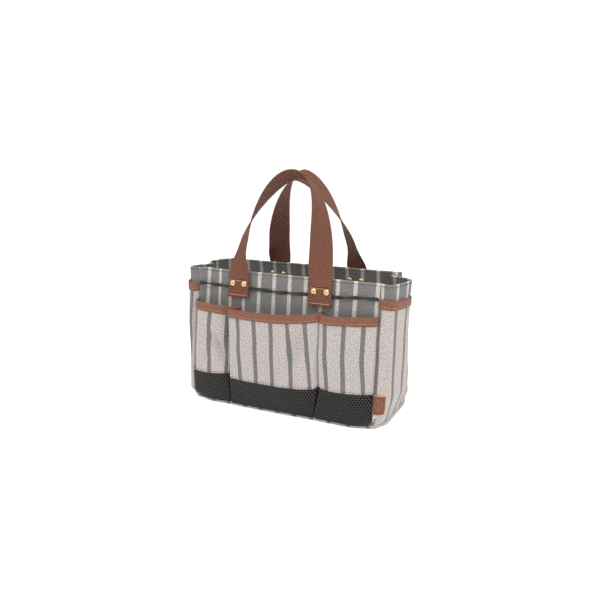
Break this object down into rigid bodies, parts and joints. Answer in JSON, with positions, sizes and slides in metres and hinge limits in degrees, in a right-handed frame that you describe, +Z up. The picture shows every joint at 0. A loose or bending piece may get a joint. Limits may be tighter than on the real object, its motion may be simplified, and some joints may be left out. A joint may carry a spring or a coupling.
{
  "type": "garden tool bag",
  "caption": "Open-topped striped canvas tool bag with outer pockets on every side, a mesh foot on the long pockets, an elastic tool band and two swinging webbing handles.",
  "frame": {"origin": "centre of the base, on the ground", "axes": "+Z up, +X along the long side to the right seen from the front, -Y towards the front"},
  "size_m": [0.349, 0.1618, 0.3466],
  "materials": {
    "outer_cloth": "slate grey canvas with pale stripes, plain weave",
    "lining_cloth": "slate grey canvas with pale stripes, plain weave",
    "base_cloth": "pale canvas with grey stripes",
    "pocket_cloth": "pale canvas with grey stripes",
    "foam_board": "closed-cell foam sheet",
    "base_board": "hard board sheet",
    "mesh": "black hexagonal warp-knit mesh",
    "binding": "brown webbing tape",
    "webbing": "brown herringbone webbing",
    "elastic": "black flat elastic",
    "brass": "polished brass",
    "leather": "red-brown leather, cut edge"
  },
  "bodies": {
    "bag": {"front_panel": "outer_cloth", "rear_panel": "outer_cloth", "left_end_panel": "outer_cloth", "right_end_panel": "outer_cloth", "base_panel": "base_cloth", "front_stiffener": "foam_board", "rear_stiffener": "foam_board", "base_board": "base_board", "front_lining": "lining_cloth", "rear_lining": "lining_cloth", "left_end_lining": "lining_cloth", "right_end_lining": "lining_cloth", "base_lining": "lining_cloth", "front_left_pocket": "pocket_cloth", "front_left_mesh": "mesh", "front_left_binding": "binding", "front_centre_pocket": "pocket_cloth", "front_centre_mesh": "mesh", "front_centre_binding": "binding", "front_right_pocket": "pocket_cloth", "front_right_mesh": "mesh", "front_right_binding": "binding", "rear_left_pocket": "pocket_cloth", "rear_left_mesh": "mesh", "rear_left_binding": "binding", "rear_centre_pocket": "pocket_cloth", "rear_centre_mesh": "mesh", "rear_centre_binding": "binding", "rear_right_pocket": "pocket_cloth", "rear_right_mesh": "mesh", "rear_right_binding": "binding", "left_end_pocket": "pocket_cloth", "left_end_binding": "binding", "right_end_pocket": "pocket_cloth", "right_end_binding": "binding", "front_elastic": "elastic", "front_left_handle_end": "webbing", "front_right_handle_end": "webbing", "front_rivet_caps": "brass", "front_rivet_posts": "brass", "rear_elastic": "elastic", "rear_left_handle_end": "webbing", "rear_right_handle_end": "webbing", "rear_rivet_caps": "brass", "rear_rivet_posts": "brass", "leather_label": "leather"},
    "front_handle": {"front_handle_loop": "webbing"},
    "rear_handle": {"rear_handle_loop": "webbing"}
  },
  "joints": [
    {"name": "front_handle_swing", "type": "hinge", "parent": "bag", "child": "front_handle", "pos_m": [-0.0068, -0.05494, 0.188], "axis": [1, 0, 0], "range_deg": [0, 146]},
    {"name": "rear_handle_swing", "type": "hinge", "parent": "bag", "child": "rear_handle", "pos_m": [0.0068, 0.05494, 0.188], "axis": [-1, 0, 0], "range_deg": [0, 146]}
  ]
}
